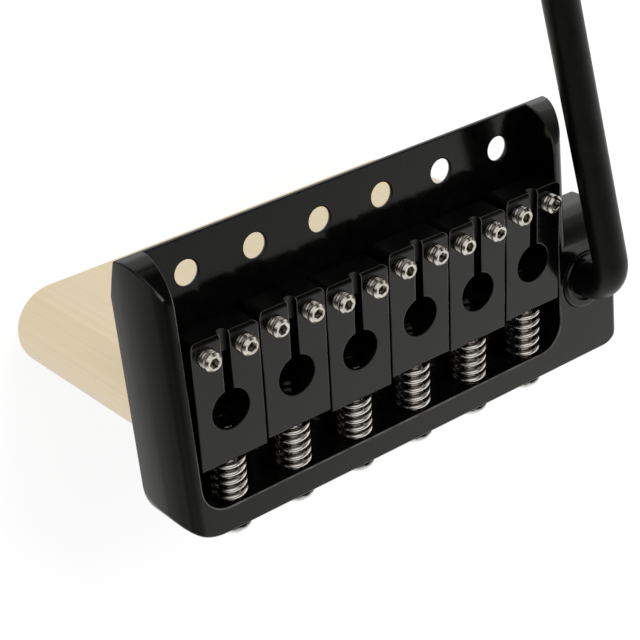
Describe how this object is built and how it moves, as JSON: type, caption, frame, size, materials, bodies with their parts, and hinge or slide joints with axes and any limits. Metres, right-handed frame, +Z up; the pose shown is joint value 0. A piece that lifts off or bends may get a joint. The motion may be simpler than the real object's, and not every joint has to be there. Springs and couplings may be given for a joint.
{
  "type": "guitar tremolo bridge",
  "caption": "Guitar tremolo bridge: a black tray with pivot holes, sprung adjustable saddles, a deep pale sustain block under it and a bent push-in arm.",
  "frame": {"origin": "middle of the row of pivot holes, on the floor of the tray", "axes": "+X across the strings towards the arm, +Y along the strings from the springs towards the pivot edge, +Z up out of the guitar"},
  "size_m": [0.0795, 0.1596, 0.0491],
  "materials": {
    "black_finish": "gloss black over cast and machined metal",
    "block_metal": "satin pale champagne plating",
    "screw_steel": "bright nickel-plated steel",
    "spring_steel": "bright drawn spring wire",
    "nylon": "plain moulded black nylon",
    "black_plastic": "moulded black plastic"
  },
  "bodies": {
    "tray": {"base_plate": "black_finish", "sustain_block": "block_metal", "block_screws": "screw_steel", "arm_socket": "black_finish", "arm_sleeve": "nylon"},
    "arm": {"tremolo_arm": "black_finish", "arm_tip": "black_plastic"},
    "spring_1": {"intonation_spring_1": "spring_steel"},
    "screw_1": {"intonation_screw_1": "screw_steel"},
    "saddle_1": {"saddle_1": "black_finish"},
    "feet_1": {"height_screws_1": "screw_steel"},
    "spring_2": {"intonation_spring_2": "spring_steel"},
    "screw_2": {"intonation_screw_2": "screw_steel"},
    "saddle_2": {"saddle_2": "black_finish"},
    "feet_2": {"height_screws_2": "screw_steel"},
    "spring_3": {"intonation_spring_3": "spring_steel"},
    "screw_3": {"intonation_screw_3": "screw_steel"},
    "saddle_3": {"saddle_3": "black_finish"},
    "feet_3": {"height_screws_3": "screw_steel"},
    "spring_4": {"intonation_spring_4": "spring_steel"},
    "screw_4": {"intonation_screw_4": "screw_steel"},
    "saddle_4": {"saddle_4": "black_finish"},
    "feet_4": {"height_screws_4": "screw_steel"},
    "spring_5": {"intonation_spring_5": "spring_steel"},
    "screw_5": {"intonation_screw_5": "screw_steel"},
    "saddle_5": {"saddle_5": "black_finish"},
    "feet_5": {"height_screws_5": "screw_steel"},
    "spring_6": {"intonation_spring_6": "spring_steel"},
    "screw_6": {"intonation_screw_6": "screw_steel"},
    "saddle_6": {"saddle_6": "black_finish"},
    "feet_6": {"height_screws_6": "screw_steel"}
  },
  "joints": [
    {"name": "saddle_lift_1", "type": "hinge", "parent": "tray", "child": "spring_1", "pos_m": [-0.02625, -0.033, 0.00285], "axis": [1, 0, 0], "range_deg": [-5, 1]},
    {"name": "screw_turn_1", "type": "hinge", "parent": "spring_1", "child": "screw_1", "pos_m": [-0.02625, -0.033, 0.00285], "axis": [0, 0.9969, 0.0785], "range_deg": [-1630, 838]},
    {"name": "saddle_slide_1", "type": "slide", "parent": "spring_1", "child": "saddle_1", "axis": [0, 0.9969, 0.0785], "range_m": [-0.00115, 0.00225], "deforming": ["intonation_spring_1"]},
    {"name": "height_screw_1", "type": "slide", "parent": "saddle_1", "child": "feet_1", "axis": [0, -0.0785, 0.9969], "range_m": [-0.00045, 0.0022]},
    {"name": "saddle_lift_2", "type": "hinge", "parent": "tray", "child": "spring_2", "pos_m": [-0.01575, -0.033, 0.00285], "axis": [1, 0, 0], "range_deg": [-5, 1]},
    {"name": "screw_turn_2", "type": "hinge", "parent": "spring_2", "child": "screw_2", "pos_m": [-0.01575, -0.033, 0.00285], "axis": [0, 0.9969, 0.0785], "range_deg": [-1234, 1234]},
    {"name": "saddle_slide_2", "type": "slide", "parent": "spring_2", "child": "saddle_2", "axis": [0, 0.9969, 0.0785], "range_m": [-0.0017, 0.0017], "deforming": ["intonation_spring_2"]},
    {"name": "height_screw_2", "type": "slide", "parent": "saddle_2", "child": "feet_2", "axis": [0, -0.0785, 0.9969], "range_m": [-0.00046, 0.00225]},
    {"name": "saddle_lift_3", "type": "hinge", "parent": "tray", "child": "spring_3", "pos_m": [-0.00525, -0.033, 0.00285], "axis": [1, 0, 0], "range_deg": [-5, 1]},
    {"name": "screw_turn_3", "type": "hinge", "parent": "spring_3", "child": "screw_3", "pos_m": [-0.00525, -0.033, 0.00285], "axis": [0, 0.9969, 0.0785], "range_deg": [-1630, 838]},
    {"name": "saddle_slide_3", "type": "slide", "parent": "spring_3", "child": "saddle_3", "axis": [0, 0.9969, 0.0785], "range_m": [-0.00115, 0.00225], "deforming": ["intonation_spring_3"]},
    {"name": "height_screw_3", "type": "slide", "parent": "saddle_3", "child": "feet_3", "axis": [0, -0.0785, 0.9969], "range_m": [-0.00045, 0.0022]},
    {"name": "saddle_lift_4", "type": "hinge", "parent": "tray", "child": "spring_4", "pos_m": [0.00525, -0.033, 0.00285], "axis": [1, 0, 0], "range_deg": [-5, 1]},
    {"name": "screw_turn_4", "type": "hinge", "parent": "spring_4", "child": "screw_4", "pos_m": [0.00525, -0.033, 0.00285], "axis": [0, 0.9969, 0.0785], "range_deg": [-946, 1522]},
    {"name": "saddle_slide_4", "type": "slide", "parent": "spring_4", "child": "saddle_4", "axis": [0, 0.9969, 0.0785], "range_m": [-0.0021, 0.0013], "deforming": ["intonation_spring_4"]},
    {"name": "height_screw_4", "type": "slide", "parent": "saddle_4", "child": "feet_4", "axis": [0, -0.0785, 0.9969], "range_m": [-0.00047, 0.00228]},
    {"name": "saddle_lift_5", "type": "hinge", "parent": "tray", "child": "spring_5", "pos_m": [0.01575, -0.033, 0.00285], "axis": [1, 0, 0], "range_deg": [-5, 1]},
    {"name": "screw_turn_5", "type": "hinge", "parent": "spring_5", "child": "screw_5", "pos_m": [0.01575, -0.033, 0.00285], "axis": [0, 0.9969, 0.0785], "range_deg": [-1126, 1342]},
    {"name": "saddle_slide_5", "type": "slide", "parent": "spring_5", "child": "saddle_5", "axis": [0, 0.9969, 0.0785], "range_m": [-0.00185, 0.00155], "deforming": ["intonation_spring_5"]},
    {"name": "height_screw_5", "type": "slide", "parent": "saddle_5", "child": "feet_5", "axis": [0, -0.0785, 0.9969], "range_m": [-0.00046, 0.00226]},
    {"name": "saddle_lift_6", "type": "hinge", "parent": "tray", "child": "spring_6", "pos_m": [0.02625, -0.033, 0.00285], "axis": [1, 0, 0], "range_deg": [-5, 1]},
    {"name": "screw_turn_6", "type": "hinge", "parent": "spring_6", "child": "screw_6", "pos_m": [0.02625, -0.033, 0.00285], "axis": [0, 0.9969, 0.0785], "range_deg": [-658, 1810]},
    {"name": "saddle_slide_6", "type": "slide", "parent": "spring_6", "child": "saddle_6", "axis": [0, 0.9969, 0.0785], "range_m": [-0.0025, 0.0009], "deforming": ["intonation_spring_6"]},
    {"name": "height_screw_6", "type": "slide", "parent": "saddle_6", "child": "feet_6", "axis": [0, -0.0785, 0.9969], "range_m": [-0.00047, 0.00232]},
    {"name": "arm_swivel", "type": "hinge", "parent": "tray", "child": "arm", "pos_m": [0.0369, -0.0224, 0], "axis": [0, 0, 1], "continuous": true}
  ],
  "couplings": [
    {"joint": "screw_turn_1", "follows": "saddle_slide_1", "rad_per_m": -12566},
    {"joint": "height_screw_1", "follows": "saddle_lift_1", "m_per_rad": -0.025095},
    {"joint": "screw_turn_2", "follows": "saddle_slide_2", "rad_per_m": -12566},
    {"joint": "height_screw_2", "follows": "saddle_lift_2", "m_per_rad": -0.025649},
    {"joint": "screw_turn_3", "follows": "saddle_slide_3", "rad_per_m": -12566},
    {"joint": "height_screw_3", "follows": "saddle_lift_3", "m_per_rad": -0.025095},
    {"joint": "screw_turn_4", "follows": "saddle_slide_4", "rad_per_m": -12566},
    {"joint": "height_screw_4", "follows": "saddle_lift_4", "m_per_rad": -0.026051},
    {"joint": "screw_turn_5", "follows": "saddle_slide_5", "rad_per_m": -12566},
    {"joint": "height_screw_5", "follows": "saddle_lift_5", "m_per_rad": -0.025799},
    {"joint": "screw_turn_6", "follows": "saddle_slide_6", "rad_per_m": -12566},
    {"joint": "height_screw_6", "follows": "saddle_lift_6", "m_per_rad": -0.026454}
  ]
}
